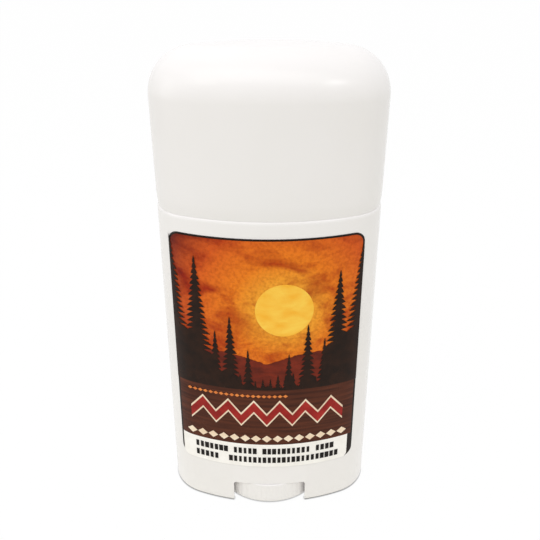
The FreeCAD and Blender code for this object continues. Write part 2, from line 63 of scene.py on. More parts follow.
class Body(Enum):
    """The bodies of the frame that the pieces ride on."""

    CONTAINER = "container"
    DRIVE = "drive"
    CARRIAGE = "carriage"
    OVERCAP = "overcap"


def screen(red: int, green: int, blue: int) -> Colour:
    """Turn a colour as it shows on screen into the linear one that a shader takes.

    Args:
        red: Red from 0 to 255.
        green: Green from 0 to 255.
        blue: Blue from 0 to 255.

    Returns:
        The linear colour.
    """
    shares = [level / 255 for level in (red, green, blue)]
    return tuple(
        share / 12.92 if share <= 0.04045 else ((share + 0.055) / 1.055) ** 2.4
        for share in shares
    )


class Wiring:
    """The nodes of a shader tree, and the links between them."""

    def __init__(self, tree: bpy.types.NodeTree) -> None:
        """Start on a tree."""
        self.tree = tree

    def add(
        self, kind: str, options: dict[str, object] | None = None, **inputs: object
    ) -> bpy.types.Node:
        """Add a node.

        Args:
            kind: The node's type.
            options: Its own options.
            **inputs: A value or a socket for each input, by its name with underscores.

        Returns:
            The node.
        """
        node = self.tree.nodes.new(kind)
        for option, value in (options or {}).items():
            setattr(node, option, value)
        self.feed(node, **inputs)
        return node

    def feed(self, node: bpy.types.Node, **inputs: object) -> None:
        """Set a node's inputs to values, or link them to sockets."""
        for key, value in inputs.items():
            self.join(value, node.inputs[key.replace("_", " ")])

    def join(self, value: object, socket: bpy.types.NodeSocket) -> None:
        """Give a socket a value, or link another socket to it."""
        if isinstance(value, bpy.types.NodeSocket):
            self.tree.links.new(value, socket)
        else:
            socket.default_value = value


class Shader(Wiring):
    """A material under construction, from its surface back to its patterns."""

    def __init__(self, name: str, **settings: object) -> None:
        """Start a material.

        Args:
            name: The material's name.
            **settings: Values for the surface's own sockets, by their names with underscores.
        """
        self.material = bpy.data.materials.new(name)
        self.material.use_nodes = True
        super().__init__(self.material.node_tree)
        self.surface = self.tree.nodes["Principled BSDF"]
        self.place = self.add("ShaderNodeTexCoord").outputs["Object"]
        self.feed(self.surface, **settings)

    def mapped(
        self, stretch: Sequence[float], centre: Sequence[float] = (0.0, 0.0, 0.0)
    ) -> bpy.types.NodeSocket:
        """Read the piece's own coordinates from a centre, in units of its own.

        Args:
            stretch: How long a unit is along each axis, in millimetres.
            centre: What becomes the origin, in millimetres.

        Returns:
            The mapped coordinates.
        """
        scale = [1 / (length * MM) for length in stretch]
        place = [-middle * MM * factor for middle, factor in zip(centre, scale)]
        node = self.add("ShaderNodeMapping", Vector=self.place, Scale=scale, Location=place)
        return node.outputs["Vector"]

    def noise(
        self, grain: Sequence[float], detail: float = 3.0, distortion: float = 0.0
    ) -> bpy.types.NodeSocket:
        """Make soft noise.

        Args:
            grain: The size of its blotches along each axis, in millimetres.
            detail: How many finer layers it has.
            distortion: How far it is pulled about.

        Returns:
            The noise, about 0.5.
        """
        return self.add(
            "ShaderNodeTexNoise", Vector=self.mapped(grain), Scale=1.0, Detail=detail,
            Distortion=distortion,
        ).outputs["Fac"]

    def glow(self, stretch: Sequence[float], centre: Sequence[float]) -> bpy.types.NodeSocket:
        """Make a round glow, 1 at its centre and 0 where its stretch ends."""
        return self.add(
            "ShaderNodeTexGradient", {"gradient_type": "SPHERICAL"},
            Vector=self.mapped(stretch, centre),
        ).outputs["Fac"]

    def ramp(
        self, factor: bpy.types.NodeSocket, *stops: tuple[float, Colour]
    ) -> bpy.types.NodeSocket:
        """Turn a factor into colours.

        Args:
            factor: What is read.
            *stops: Each place along the ramp with its colour.

        Returns:
            The colour.
        """
        node = self.add("ShaderNodeValToRGB", Fac=factor)
        elements = node.color_ramp.elements
        while len(elements) < len(stops):
            elements.new(0.5)
        for element, (position, colour) in zip(elements, stops):
            element.position = position
            element.color = (*colour, 1.0)
        return node.outputs["Color"]

    def dim(self, colour: bpy.types.NodeSocket, by: bpy.types.NodeSocket) -> bpy.types.NodeSocket:
        """Darken a colour by another."""
        options = {"data_type": "RGBA", "blend_type": "MULTIPLY"}
        return self.add("ShaderNodeMix", options, Factor=1.0, A=colour, B=by).outputs["Result"]

    def spread(self, factor: bpy.types.NodeSocket, low: float, high: float) -> bpy.types.NodeSocket:
        """Bring the middle of a noise to a range.

        Args:
            factor: The noise.
            low: The value at 0.3 and under.
            high: The value at 0.7 and over.

        Returns:
            The value.
        """
        return self.add(
            "ShaderNodeMapRange", Value=factor, From_Min=0.3, From_Max=0.7, To_Min=low, To_Max=high
        ).outputs["Result"]

    def finish(
        self, colour: bpy.types.NodeSocket, roughness: bpy.types.NodeSocket,
        *layers: tuple[bpy.types.NodeSocket, float],
    ) -> bpy.types.Material:
        """Give the surface its looks.

        Args:
            colour: Its colour.
            roughness: Its roughness.
            *layers: Each pattern that raises it, with the relief's height in millimetres.

        Returns:
            The material.
        """
        self.feed(self.surface, Base_Color=colour, Roughness=roughness)
        below = None
        for pattern, height in layers:
            bump = self.add("ShaderNodeBump", Height=pattern, Strength=1.0, Distance=height * MM)
            if below:
                self.feed(bump, Normal=below)
            below = bump.outputs["Normal"]
        self.feed(self.surface, Normal=below)
        return self.material

    def varnish(self, colour: bpy.types.NodeSocket) -> bpy.types.Material:
        """Finish a printed colour with an uneven clear varnish."""
        film = self.noise((6, 6, 9), detail=2)
        return self.finish(colour, self.spread(film, 0.24, 0.34), (film, 0.02))


@dataclass(frozen=True)
class MouldedPlastic:
    """Moulded plastic: a faint unevenness of colour and gloss, and soft sinks in the wall."""

    name: str
    colour: Colour
    shade: Colour
    gloss: tuple[float, float] = (0.2, 0.27)
    sink: float = 0.03
    grain: float = 0.003

    def material(self) -> bpy.types.Material:
        """Build the material."""
        shader = Shader(self.name, IOR=1.49, Specular_IOR_Level=0.5)
        cloud = shader.noise((22, 22, 30), detail=2)
        fine = shader.noise((0.55, 0.55, 0.55), detail=2)
        flow = shader.noise((17, 17, 34), detail=1, distortion=0.3)
        colour = shader.ramp(cloud, (0.3, self.shade), (0.7, self.colour))
        gloss = shader.spread(flow, *self.gloss)
        return shader.finish(colour, gloss, (flow, self.sink), (fine, self.grain))


@dataclass(frozen=True)
class ThinMoulding:
    """A thin moulding that lets some light through."""

    name: str
    colour: Colour

    def material(self) -> bpy.types.Material:
        """Build the material."""
        shader = Shader(self.name, IOR=1.49, Transmission_Weight=0.35, Specular_IOR_Level=0.5)
        frost = shader.noise((3, 3, 3), detail=3)
        fine = shader.noise((0.5, 0.5, 0.5), detail=2)
        dim = tuple(0.95 * level for level in self.colour)
        colour = shader.ramp(frost, (0.3, dim), (0.7, self.colour))
        return shader.finish(colour, shader.spread(frost, 0.32, 0.48), (frost, 0.03), (fine, 0.004))


@dataclass(frozen=True)
class WaxyProduct:
    """A firm waxy solid: matt, with fine pores and a slight bloom."""

    name: str
    colour: Colour
    bloom: Colour

    def material(self) -> bpy.types.Material:
        """Build the material."""
        shader = Shader(self.name, IOR=1.44, Subsurface_Weight=0.12, Subsurface_Scale=0.002)
        bloom = shader.noise((5, 5, 5), detail=4, distortion=0.3)
        pores = shader.noise((0.35, 0.35, 0.35), detail=3)
        colour = shader.ramp(bloom, (0.35, self.colour), (0.68, self.bloom))
        return shader.finish(colour, shader.spread(bloom, 0.48, 0.62), (bloom, 0.06), (pores, 0.02))


@dataclass(frozen=True)
class Ink:
    """Printed ink under a clear varnish, a little uneven in tone."""

    name: str
    colour: Colour
    shade: Colour
    blotch: Sequence[float] = (3.0, 3.0, 3.0)
    band: tuple[float, float] = (0.35, 0.65)

    def material(self) -> bpy.types.Material:
        """Build the material."""
        shader = Shader(self.name, IOR=1.47, Specular_IOR_Level=0.14)
        tone = shader.noise(self.blotch, detail=5, distortion=0.3)
        low, high = self.band
        return shader.varnish(shader.ramp(tone, (low, self.shade), (high, self.colour)))


@dataclass(frozen=True)
class DuskSky:
    """The printed sky: a glow round the sun that falls off to red, under mottled cloud."""

    name: str
    sun: tuple[float, float]
    glow: float = 36.0

    def material(self) -> bpy.types.Material:
        """Build the material."""
        shader = Shader(self.name, IOR=1.47, Specular_IOR_Level=0.14)
        reach = (self.glow, self.glow * 4, self.glow)
        warm = shader.ramp(
            shader.glow(reach, (self.sun[0], -15.0, self.sun[1])),
            (0.0, screen(92, 34, 20)), (0.14, screen(156, 58, 26)), (0.34, screen(214, 92, 30)),
            (0.62, screen(236, 128, 30)), (0.88, screen(246, 178, 56)),
        )
        cloud = shader.noise((11, 11, 6), detail=6, distortion=1.1)
        dark = shader.ramp(cloud, (0.44, screen(255, 255, 255)), (0.74, screen(186, 112, 90)))
        speckle = shader.noise((0.8, 0.8, 0.8), detail=4)
        dust = shader.ramp(speckle, (0.3, screen(226, 214, 204)), (0.6, screen(255, 255, 255)))
        return shader.varnish(shader.dim(shader.dim(warm, dark), dust))


class Piece:
    """A finished mesh object that rides on a body of the frame."""

    def __init__(
        self,
        name: str,
        points: np.ndarray,
        faces: Sequence[Sequence[int]],
        material: bpy.types.Material,
    ) -> None:
        """Make the object.

        Args:
            name: The object's name.
            points: Its corners in millimetres, one to a row.
            faces: The corners of each face.
            material: Its finish.
        """
        mesh = bpy.data.meshes.new(name)
        mesh.from_pydata((np.asarray(points, float) * MM).tolist(), [], [list(f) for f in faces])
        mesh.materials.append(material)
        self.item = bpy.data.objects.new(name, mesh)
        bpy.context.scene.collection.objects.link(self.item)
        self.tidy()

    def tidy(self) -> None:
        """Point the faces outwards, and smooth all but the sharp edges."""
        mesh = self.item.data
        shape = bmesh.new()
        shape.from_mesh(mesh)
        bmesh.ops.recalc_face_normals(shape, faces=shape.faces[:])
        shape.to_mesh(mesh)
        shape.free()
        mesh.shade_smooth()
        mesh.set_sharp_from_angle(angle=SMOOTH_BELOW)

    def carve(self, tool: "Piece") -> None:
        """Cut another piece out of this one, which leaves only this one."""
        cut = self.item.modifiers.new("carve", "BOOLEAN")
        cut.operation = "DIFFERENCE"
        cut.solver = "EXACT"
        cut.object = tool.item
        self.bake()
        bpy.data.objects.remove(tool.item)

    def bevel(self, width: float) -> None:
        """Break the sharp edges, by a width in millimetres."""
        edge = self.item.modifiers.new("edges", "BEVEL")
        edge.width = width * MM
        edge.segments = 2
        edge.limit_method = "ANGLE"
        edge.angle_limit = BREAK_ABOVE
        self.bake()

    def bake(self) -> None:
        """Turn the modifiers' result into a plain mesh."""
        graph = bpy.context.evaluated_depsgraph_get()
        mesh = bpy.data.meshes.new_from_object(self.item.evaluated_get(graph))
        self.item.modifiers.clear()
        old = self.item.data
        mesh.name = old.name
        self.item.data = mesh
        bpy.data.meshes.remove(old)
        mesh.shade_smooth()
        mesh.set_sharp_from_angle(angle=SMOOTH_BELOW)

    def put_on(self, body: Body, slot: str, *nodes: str) -> "Piece":
        """Let the piece ride on its body.

        Args:
            body: The body.
            slot: The record's material slot; not used.
            *nodes: The nodes of the frame that the piece stands for.

        Returns:
            The piece.
        """
        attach(self.item, body.value)
        if nodes:
            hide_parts(*nodes)
        log.info("%s: %d faces on %s", self.item.name, len(self.item.data.polygons), body.value)
        return self


class GrowthTree:
    """A Geometry Nodes tree that grows what repeats, with named inputs for its sizes."""

    def __init__(self, name: str, **inputs: float) -> None:
        """Start a tree.

        Args:
            name: The tree's name.
            **inputs: Its sizes in millimetres, or whole numbers for counts.
        """
        self.group = bpy.data.node_groups.new(name, "GeometryNodeTree")
        self.values = inputs
        face = self.group.interface
        face.new_socket(name="Geometry", in_out="INPUT", socket_type="NodeSocketGeometry")
        for key, value in inputs.items():
            kind = "NodeSocketInt" if isinstance(value, int) else "NodeSocketFloat"
            face.new_socket(name=key, in_out="INPUT", socket_type=kind)
        face.new_socket(name="Geometry", in_out="OUTPUT", socket_type="NodeSocketGeometry")
        self.start = self.group.nodes.new("NodeGroupInput")
        self.end = self.group.nodes.new("NodeGroupOutput")

    def node(self, kind: str, options: dict[str, object] | None = None, **inputs: object):
        """Add a node.

        Args:
            kind: The node's type.
            options: Its own options.
            **inputs: A value, a socket or the name of one of the tree's own inputs for each
                input, by its name with underscores.

        Returns:
            The node's first output.
        """
        node = self.group.nodes.new(kind)
        for option, value in (options or {}).items():
            setattr(node, option, value)
        sockets = {s.name: s for s in reversed(node.inputs) if s.enabled}
        for key, value in inputs.items():
            socket = sockets[key.replace("_", " ")]
            if isinstance(value, str):
                value = self.start.outputs[value]
            if isinstance(value, bpy.types.NodeSocket):
                self.group.links.new(value, socket)
            else:
                socket.default_value = value
        return next(s for s in node.outputs if s.enabled)

    def vector(self, x: object = 0.0, y: object = 0.0, z: object = 0.0) -> bpy.types.NodeSocket:
        """Join three numbers to a vector."""
        return self.node("ShaderNodeCombineXYZ", X=x, Y=y, Z=z)

    def row(self, height: str) -> bpy.types.NodeSocket:
        """Lay points from the tree's start at its pitch, at the height that an input gives."""
        return self.node(
            "GeometryNodeMeshLine", {"mode": "OFFSET"}, Count="Count",
            Start_Location=self.vector("Start", 0.0, height), Offset=self.vector("Pitch"),
        )

    def lift(self, geometry: bpy.types.NodeSocket, rise: str) -> bpy.types.NodeSocket:
        """Lift a geometry by the rise that an input gives."""
        up = self.vector(z=rise)
        return self.node("GeometryNodeTransform", Geometry=geometry, Translation=up)

    def grow(
        self,
        geometry: bpy.types.NodeSocket,
        material: bpy.types.Material,
        name: str,
        shape: Callable[[np.ndarray], np.ndarray] | None = None,
    ) -> Piece:
        """Run the tree and keep its result as a plain mesh.

        Args:
            geometry: What the tree has made.
            material: Its finish.
            name: The piece's name.
            shape: What moves its points to their places, if anything does.

        Returns:
            The piece.
        """
        real = self.node("GeometryNodeRealizeInstances", Geometry=geometry)
        dressed = self.node("GeometryNodeSetMaterial", Geometry=real, Material=material)
        self.group.links.new(dressed, self.end.inputs["Geometry"])
        mesh = bpy.data.meshes.new(f"{name}_seed")
        item = bpy.data.objects.new(f"{name}_seed", mesh)
        bpy.context.scene.collection.objects.link(item)
        modifier = item.modifiers.new(name, "NODES")
        modifier.node_group = self.group
        for socket in self.group.interface.items_tree:
            if socket.in_out == "INPUT" and socket.name in self.values:
                modifier[socket.identifier] = self.values[socket.name]
        graph = bpy.context.evaluated_depsgraph_get()
        grown = bpy.data.meshes.new_from_object(item.evaluated_get(graph))
        points = np.array([v.co for v in grown.vertices])
        faces = [list(face.vertices) for face in grown.polygons]
        item.modifiers.clear()
        bpy.data.objects.remove(item)
        bpy.data.meshes.remove(grown)
        return Piece(name, shape(points) if shape else points, faces, material)


@dataclass(frozen=True)
class Oval:
    """The plan that the whole stick follows: two narrow ends and two flat flanks."""

    half_width: float = 28.5
    half_depth: float = 15.75
    end_radius: float = 12.5
    end_steps: int = 40
    flank_steps: int = 32

    @property
    def end_centre(self) -> float:
        """How far out the ends' centres lie."""
        return self.half_width - self.end_radius

    @property
    def flank_centre(self) -> float:
        """How far behind the middle the front flank's centre lies."""
        rise = self.half_depth - self.end_radius
        return (self.end_centre ** 2 - rise ** 2) / (2 * rise)

    @property
    def flank_radius(self) -> float:
        """The radius of a flank."""
        return self.flank_centre + self.half_depth

    @property
    def turn(self) -> float:
        """The angle at which an end meets a flank."""
        return math.atan2(self.flank_centre, self.end_centre)

    def angles(self) -> tuple[np.ndarray, np.ndarray, np.ndarray]:
        """Give the direction, centre and radius for each point round the oval.

        Returns:
            The outward angles, the arcs' centres and the arcs' radii, from the middle of
            the right end anticlockwise.
        """
        turn, quarter = self.turn, math.pi / 2
        end = np.linspace(-turn, turn, self.end_steps, endpoint=False)
        flank = np.linspace(turn - quarter, quarter - turn, self.flank_steps, endpoint=False)
        right, left = (self.end_centre, 0.0), (-self.end_centre, 0.0)
        back, front = (0.0, -self.flank_centre), (0.0, self.flank_centre)
        parts = (
            (end, right, self.end_radius),
            (flank + quarter, back, self.flank_radius),
            (end + math.pi, left, self.end_radius),
            (flank + 3 * quarter, front, self.flank_radius),
        )
        turns = np.concatenate([part[0] for part in parts])
        centres = np.concatenate([np.tile(part[1], (len(part[0]), 1)) for part in parts])
        radii = np.concatenate([np.full(len(part[0]), part[2]) for part in parts])
        start = self.end_steps // 2
        return np.roll(turns, -start), np.roll(centres, -start, 0), np.roll(radii, -start)

    def normals(self) -> np.ndarray:
        """Give the outward direction at each point."""
        turns = self.angles()[0]
        return np.stack([np.cos(turns), np.sin(turns)], 1)

    def ring(self, inset: float | np.ndarray = 0.0) -> np.ndarray:
        """Give the points round the oval, drawn in by an inset."""
        _, centres, radii = self.angles()
        reach = np.broadcast_to(radii - inset, radii.shape)
        return centres + reach[:, None] * self.normals()

    def ray(self) -> np.ndarray:
        """Give the direction of each point as seen from the middle."""
        ring = self.ring()
        return np.arctan2(ring[:, 1], ring[:, 0])

    def circle(self, radius: float) -> np.ndarray:
        """Give a circle with a point for each point of the oval."""
        rays = self.ray()
        return radius * np.stack([np.cos(rays), np.sin(rays)], 1)

    def front(self, x: np.ndarray, proud: float | np.ndarray = 0.0) -> np.ndarray:
        """Give Y on the front of the oval.

        Args:
            x: Where across.
            proud: How far out of the surface.

        Returns:
            Y for each x.
        """
        x = np.abs(np.asarray(x, float))
        flank = self.flank_radius + proud
        end = self.end_radius + proud
        on_flank = self.flank_centre - np.sqrt(np.maximum(flank ** 2 - x ** 2, 0))
        on_end = -np.sqrt(np.maximum(end ** 2 - (x - self.end_centre) ** 2, 0))
        return np.where(x <= flank * math.cos(self.turn), on_flank, on_end)

    def columns(self) -> list[float]:
        """Give the x of each point on the front, where what is laid on it bends."""
        ring = self.ring()
        return sorted(round(float(x), 6) for x, y in ring if y < -1e-6)


OVAL = Oval()


class Skin:
    """A skin gathered ring by ring, each bridged to the last."""

    def __init__(self) -> None:
        """Start with nothing."""
        self.points: list[tuple[float, float, float]] = []
        self.faces: list[tuple[int, ...]] = []
        self.rings: list[range] = []

    def ring(self, outline: np.ndarray, height: float | np.ndarray) -> None:
        """Add a ring.

        Args:
            outline: Its points from above.
            height: Its height, or the height of each point.
        """
        heights = np.broadcast_to(height, (len(outline),))
        start = len(self.points)
        self.points += [(float(x), float(y), float(z)) for (x, y), z in zip(outline, heights)]
        ring = range(start, start + len(outline))
        if self.rings:
            self.bridge(self.rings[-1], ring)
        self.rings.append(ring)

    def ovals(self, *profile: tuple[float, float]) -> None:
        """Add an oval ring for each inset and height."""
        for inset, height in profile:
            self.ring(OVAL.ring(inset), height)

    def circles(self, *profile: tuple[float, float]) -> None:
        """Add a round ring for each radius and height."""
        for radius, height in profile:
            self.ring(OVAL.circle(radius), height)

    def bridge(self, one: range, other: range) -> None:
        """Join two rings by a band of faces."""
        count = len(one)
        for here in range(count):
            there = (here + 1) % count
            self.faces.append((one[here], one[there], other[there], other[here]))

    def close(self) -> None:
        """Join the last ring to the first."""
        self.bridge(self.rings[-1], self.rings[0])

    def fan(self, ring: range) -> None:
        """Close a round ring from its middle."""
        middle = np.mean([self.points[corner] for corner in ring], 0)
        centre = len(self.points)
        self.points.append(tuple(float(value) for value in middle))
        for here in range(len(ring)):
            self.faces.append((ring[here], ring[(here + 1) % len(ring)], centre))

    def lid(self, ring: range, level: Callable[[float], float], rows: int = 8) -> None:
        """Close an oval ring by a grid from front to back.

        Args:
            ring: The ring, which has as many points in front as behind.
            level: The height over each x.
            rows: How many rows of faces from front to back.
        """
        half = len(ring) // 2
        columns = []
        for step in range(1, half):
            back, front = ring[step], ring[-step]
            start, end = np.array(self.points[back]), np.array(self.points[front])
            column = [back]
            for row in range(1, rows):
                x, y, _ = start + (end - start) * row / rows
                column.append(len(self.points))
                self.points.append((float(x), float(y), float(level(x))))
            columns.append(column + [front])
        for one, other in zip(columns, columns[1:]):
            for row in range(rows):
                self.faces.append((one[row], other[row], other[row + 1], one[row + 1]))
        for tip, column in ((ring[0], columns[0]), (ring[half], columns[-1])):
            for row in range(rows):
                self.faces.append((tip, column[row], column[row + 1]))

    def rounding(
        self, inset: float, height: float, radius: float, steps: int,
        start: float, end: float,
    ) -> None:
        """Add the rings of a round edge on the oval.

        Args:
            inset: The inset of the round's centre.
            height: The height of its centre.
            radius: Its radius.
            steps: How many steps it has.
            start: The angle that it starts at, in degrees, where 0 is outwards and 90 up.
            end: The angle that it ends at.
        """
        for angle in np.radians(np.linspace(start, end, steps + 1)):
            ring = OVAL.ring(inset - radius * math.cos(angle))
            self.ring(ring, height + radius * math.sin(angle))

    def piece(self, name: str, material: bpy.types.Material) -> Piece:
        """Make the skin a piece."""
        return Piece(name, np.array(self.points), self.faces, material)


def square(half: float) -> np.ndarray:
    """Give a square with a point for each point of the oval."""
    rays = OVAL.ray()
    reach = half / np.maximum(np.abs(np.cos(rays)), np.abs(np.sin(rays)))
    return reach[:, None] * np.stack([np.cos(rays), np.sin(rays)], 1)


def arch(half: float, foot: float, top: float, corner: float, steps: int) -> Outline:
    """Outline a block with rounded upper corners.

    Args:
        half: Half its width.
        foot: Its lower edge.
        top: Its upper edge.
        corner: The corners' radius.
        steps: How many points each corner has.

    Returns:
        The outline, across and up.
    """
    outline = [(-half, foot), (half, foot)]
    for angle in np.radians(np.linspace(0, 90, steps)):
        outline.append((half - corner * (1 - math.cos(angle)), top - corner * (1 - math.sin(angle))))
    return outline + [(-x, z) for x, z in reversed(outline[2:])]


def slab(name: str, outline: Outline, half: float, material: bpy.types.Material) -> Piece:
    """Make a slab of an upright outline, which reaches half its thickness to each side."""
    count = len(outline)
    points = [(x, y, z) for y in (-half, half) for x, z in outline]
    faces: list[list[int]] = [list(range(count)), list(range(2 * count - 1, count - 1, -1))]
    for here in range(count):
        there = (here + 1) % count
        faces.append([here, there, there + count, here + count])
    return Piece(name, np.array(points), faces, material)


WHITE_SHELL = MouldedPlastic("white_shell", screen(240, 237, 237), screen(237, 234, 233))
NATURAL_PLASTIC = MouldedPlastic(
    "natural_plastic", screen(226, 225, 220), screen(219, 218, 212), gloss=(0.4, 0.5)
)
THIN_SEAL = ThinMoulding("thin_seal", screen(246, 246, 245))
PRODUCT = WaxyProduct("product", screen(243, 238, 231), screen(246, 242, 236))


@dataclass
class Cap:
    """The domed cap: a flared wall, a large round and a soft crown, hollow inside."""

    bottom: float = 87.6
    height: float = 38.4
    wall: float = 1.15
    flare: float = 0.38
    ceiling: float = 1.8
    round: float = 11.2
    crown: float = 520.0
    mouth_inset: float = 0.3
    mouth_height: float = 3.4
    mouth_ease: float = 1.4
    lip: float = 0.04

    @property
    def top(self) -> float:
        """The height of the crown's middle."""
        return self.bottom + self.height

    def outset(self, height: float | np.ndarray) -> float | np.ndarray:
        """Give how far the wall has flared at a height."""
        return self.flare * (height - self.bottom) / self.height

    def crown_at(self, x: float | np.ndarray) -> float | np.ndarray:
        """Give the crown's height over x."""
        return self.top - self.crown + np.sqrt(self.crown ** 2 - x ** 2)

    def build(self) -> None:
        """Build the cap as one closed shell."""
        skin = Skin()
        self.line_inside(skin)
        skin.ring(OVAL.ring(self.wall), self.bottom)
        self.line_mouth(skin)
        self.line_outside(skin)
        skin.piece("cap_shell", WHITE_SHELL_MATERIAL).put_on(Body.OVERCAP, "white_shell", "cap")

    def line_inside(self, skin: Skin) -> None:
        """Line the inside from the ceiling down."""
        radius = self.round - self.wall
        ceiling = self.top - self.ceiling
        skin.rounding(self.wall + radius, ceiling - radius, radius, 12, 90, 0)
        skin.lid(skin.rings[0], lambda x: ceiling)

    def line_mouth(self, skin: Skin) -> None:
        """Draw the mouth in a little over the barrel's shoulder."""
        inset, lip = self.mouth_inset, self.lip
        skin.rounding(inset + lip, self.bottom + lip, lip, 3, -90, 0)
        for share in np.linspace(0.0, 1.0, 8)[1:]:
            height = self.bottom + lip + (self.mouth_height - lip) * share
            eased = inset * (1 - share) ** self.mouth_ease
            skin.ring(OVAL.ring(eased - self.outset(height)), height)

    def line_outside(self, skin: Skin) -> None:
        """Line the wall, the round and the crown, from the mouth up."""
        across = OVAL.normals()[:, 0]
        reach = self.round
        outset = self.outset(self.top - reach)
        centre = OVAL.ring(reach - outset)
        touch = centre[:, 0]
        for _ in range(4):
            slope = -touch / np.sqrt(self.crown ** 2 - touch ** 2) * across
            tilt = np.arctan(slope)
            touch = centre[:, 0] - reach * np.sin(tilt) * across
        middle = self.crown_at(touch) - reach * np.cos(tilt)
        start = self.bottom + self.mouth_height
        for share in np.linspace(0.0, 1.0, 7)[1:-1]:
            height = start + (middle - start) * share
            skin.ring(OVAL.ring(-self.outset(height)), height)
        steps = 30
        for step in range(steps + 1):
            angle = (math.pi / 2 + tilt) * step / steps
            ring = centre + (reach * np.cos(angle))[:, None] * OVAL.normals()
            skin.ring(ring, middle + reach * np.sin(angle))
        skin.lid(skin.rings[-1], self.crown_at, rows=12)


@dataclass
class Barrel:
    """The container: skin, neck, floor and the skirt round the hand wheel, in one moulding."""

    shoulder: float = 87.6
    neck_top: float = 103.6
    neck_inset: float = 1.35
    neck_wall: float = 1.1
    neck_lip: float = 0.25
    skirt: float = 1.4
    ceiling: float = 7.2
    floor: float = 8.8
    hole: float = 3.66
    shoulder_depth: float = 0.38
    shoulder_drop: float = 0.95
    base_round: float = 0.8
    notch_half: float = 10.25
    notch_top: float = 7.0
    notch_corner: float = 0.8

    def build(self) -> None:
        """Build the barrel and cut its two finger notches."""
        skin = Skin()
        skin.circles((self.hole, self.ceiling))
        skin.ovals((self.skirt, self.ceiling), (self.skirt, 0.0))
        skin.rounding(self.base_round, self.base_round, self.base_round, 6, -90, 0)
        for angle in np.radians(np.linspace(0, 90, 10)):
            drop = self.shoulder_drop * (1 - math.sin(angle))
            skin.ovals((self.shoulder_depth * (1 - math.cos(angle)), self.shoulder - drop))
        skin.ovals((self.neck_inset, self.shoulder))
        lip = self.neck_lip
        skin.rounding(self.neck_inset + lip, self.neck_top - lip, lip, 3, 0, 90)
        bore = self.neck_inset + self.neck_wall
        skin.ovals((bore, self.neck_top), (bore, self.floor))
        skin.circles((self.hole, self.floor))
        skin.close()
        barrel = skin.piece("barrel_shell", WHITE_SHELL_MATERIAL)
        notch = arch(self.notch_half, -5.0, self.notch_top, self.notch_corner, 7)
        barrel.carve(slab("notch_block", notch, 25.0, WHITE_SHELL_MATERIAL))
        barrel.put_on(Body.CONTAINER, "white_shell", "barrel")


@dataclass
class HandWheel:
    """The wheel under the barrel: a closed underside, a ribbed rim and a square socket."""

    radius: float = 16.18
    bottom: float = 0.3
    top: float = 6.9
    rim: float = 1.7
    web_top: float = 1.7
    hub: float = 5.6
    hub_top: float = 6.5
    socket: float = 2.54
    socket_bottom: float = 1.3
    edge: float = 0.9
    chamfer: float = 0.2
    grips: int = 64
    grip_proud: float = 0.05
    grip_depth: float = 0.3
    grip_half: float = 1.0

    def build(self) -> None:
        """Build the wheel and grow its grip ribs."""
        skin = Skin()
        rim, inside = self.radius - self.grip_proud, self.radius - self.rim
        skin.circles((rim - self.edge, self.bottom))
        skin.fan(skin.rings[0])
        for angle in np.radians(np.linspace(-75, 0, 6)):
            reach = rim - self.edge * (1 - math.cos(angle))
            skin.circles((reach, self.bottom + self.edge * (1 + math.sin(angle))))
        skin.circles(
            (rim, self.top - self.chamfer), (rim - self.chamfer, self.top), (inside, self.top),
            (inside, self.web_top), (self.hub, self.web_top), (self.hub, self.hub_top),
        )
        skin.ring(square(self.socket), self.hub_top)
        skin.ring(square(self.socket), self.socket_bottom)
        skin.fan(skin.rings[-1])
        wheel = skin.piece("wheel_disc", WHITE_SHELL_MATERIAL)
        wheel.put_on(Body.DRIVE, "white_shell", "knob")
        self.grow_grips().put_on(Body.DRIVE, "white_shell")

    def grow_grips(self) -> Piece:
        """Grow the ribs round the rim."""
        foot, head = self.bottom + self.edge, self.top - 2 * self.chamfer
        tree = GrowthTree(
            "grip_ribs", Count=self.grips, Ring=self.radius - self.grip_depth,
            Depth=self.grip_depth, Half=self.grip_half, Length=head - foot,
            Rise=(head + foot) / 2,
        )
        places = tree.node("GeometryNodeMeshCircle", Vertices="Count", Radius="Ring")
        rib = tree.node("GeometryNodeMeshCylinder", Vertices=40, Radius=1.0, Depth=1.0)
        outwards = tree.node(
            "FunctionNodeAlignRotationToVector", {"axis": "X"},
            Vector=tree.node("GeometryNodeInputPosition"),
        )
        ribs = tree.node(
            "GeometryNodeInstanceOnPoints", Points=places, Instance=rib, Rotation=outwards,
            Scale=tree.vector("Depth", "Half", "Length"),
        )
        return tree.grow(tree.lift(ribs, "Rise"), WHITE_SHELL_MATERIAL, "wheel_grips")


